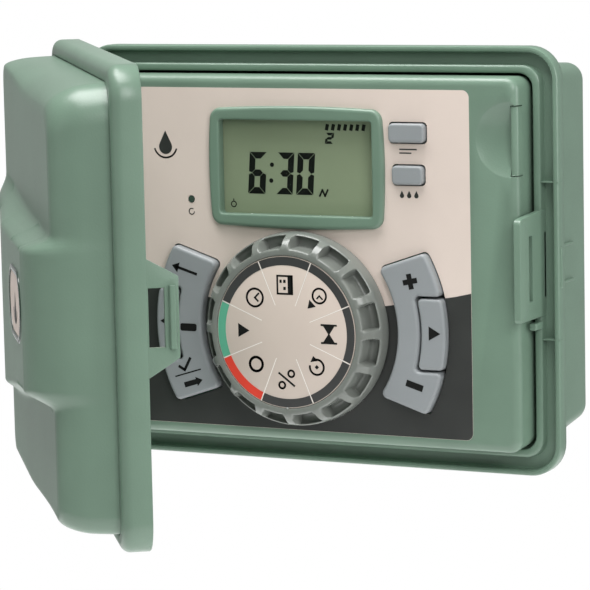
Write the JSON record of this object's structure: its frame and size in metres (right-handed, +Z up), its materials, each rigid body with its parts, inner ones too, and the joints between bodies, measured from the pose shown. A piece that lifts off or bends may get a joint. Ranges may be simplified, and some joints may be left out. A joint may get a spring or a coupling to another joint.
{
  "type": "irrigation controller",
  "caption": "Wall-mounted irrigation controller: moulded case with a hinged cover, a swing-out panel with display, rotary dial, rocker and push keys, and a wiring compartment.",
  "frame": {"origin": "centre of the case flange, on the plane of the wall-mounting back face", "axes": "+X right, +Y into the wall, +Z up; the front faces -Y"},
  "size_m": [0.2426, 0.2491, 0.1806],
  "materials": {
    "green_plastic": "satin",
    "badge_plastic": "satin",
    "steel": "satin",
    "black_rubber": "matte",
    "core_iron": "lacquered",
    "coil_wrap": "satin",
    "dark_plastic": "matte",
    "capacitor_sleeve": "gloss",
    "circuit_board": "solder mask",
    "label_print": "satin print",
    "disc_print": "satin print",
    "clear_window": "clear",
    "lcd_glass": "display",
    "white_plastic": "satin",
    "silicone": "matte",
    "knob_plastic": "satin",
    "key_plastic": "satin"
  },
  "bodies": {
    "root": {"back_housing": "green_plastic", "door_hinge_pins": "steel", "panel_hinge_pins": "steel", "inlet_bushing": "black_rubber", "wire_bushing": "black_rubber", "transformer_core": "core_iron", "transformer_coil": "coil_wrap", "transformer_bracket": "steel", "transformer_screws": "steel", "transformer_cover": "dark_plastic", "cover_screws": "steel", "terminal_board": "circuit_board", "terminal_block": "dark_plastic", "terminal_screws": "steel", "board_screws": "steel", "header_socket": "dark_plastic"},
    "door": {"door_shell": "green_plastic", "door_badge": "badge_plastic"},
    "panel": {"panel_shell": "green_plastic", "panel_latch": "green_plastic", "faceplate_label": "label_print", "lcd_bezel": "green_plastic", "lcd_window": "clear_window", "lcd_cell": "lcd_glass", "lcd_frame": "white_plastic", "contact_strips": "black_rubber", "main_board": "circuit_board", "microcontroller": "dark_plastic", "triacs": "dark_plastic", "capacitors": "capacitor_sleeve", "rotary_switch": "dark_plastic", "keypad_mat": "silicone", "standoff_screws": "steel", "battery_holder": "dark_plastic", "coin_cell": "steel", "panel_back_cover": "dark_plastic", "back_cover_screws": "steel"},
    "dial": {"dial_knob": "knob_plastic", "dial_disc": "disc_print", "dial_shaft": "white_plastic"},
    "left_rocker": {"left_rocker": "key_plastic"},
    "right_rocker": {"right_rocker": "key_plastic"},
    "left_arrow_key": {"left_arrow_key": "key_plastic"},
    "right_arrow_key": {"right_arrow_key": "key_plastic"},
    "upper_key": {"upper_key": "key_plastic"},
    "lower_key": {"lower_key": "key_plastic"},
    "reset_button": {"reset_button": "badge_plastic"}
  },
  "joints": [
    {"name": "door_hinge", "type": "hinge", "parent": "root", "child": "door", "pos_m": [-0.1119, -0.0559, 0], "axis": [0, 0, -1], "range_deg": [-54, 66]},
    {"name": "panel_swing", "type": "hinge", "parent": "root", "child": "panel", "pos_m": [-0.092, -0.069, 0], "axis": [0, 0, -1], "range_deg": [0, 55]},
    {"name": "dial_turn", "type": "hinge", "parent": "panel", "child": "dial", "pos_m": [0, -0.0725, -0.0284], "axis": [0, -1, 0], "continuous": true},
    {"name": "left_rocker_tilt", "type": "hinge", "parent": "panel", "child": "left_rocker", "pos_m": [-0.042, -0.0685, -0.0284], "axis": [1, 0, 0], "range_deg": [-2.2, 2.2], "stiffness_Nm_per_rad": 3},
    {"name": "left_arrow_press", "type": "slide", "parent": "panel", "child": "left_arrow_key", "axis": [0, 1, 0], "range_m": [0, 0.0012], "stiffness_N_per_m": 400},
    {"name": "right_rocker_tilt", "type": "hinge", "parent": "panel", "child": "right_rocker", "pos_m": [0.042, -0.0685, -0.0284], "axis": [1, 0, 0], "range_deg": [-2.2, 2.2], "stiffness_Nm_per_rad": 3},
    {"name": "right_arrow_press", "type": "slide", "parent": "panel", "child": "right_arrow_key", "axis": [0, 1, 0], "range_m": [0, 0.0012], "stiffness_N_per_m": 400},
    {"name": "upper_key_press", "type": "slide", "parent": "panel", "child": "upper_key", "axis": [0, 1, 0], "range_m": [0, 0.0012], "stiffness_N_per_m": 400},
    {"name": "lower_key_press", "type": "slide", "parent": "panel", "child": "lower_key", "axis": [0, 1, 0], "range_m": [0, 0.0012], "stiffness_N_per_m": 400},
    {"name": "reset_press", "type": "slide", "parent": "panel", "child": "reset_button", "axis": [0, 1, 0], "range_m": [0, 0.001], "stiffness_N_per_m": 400}
  ]
}
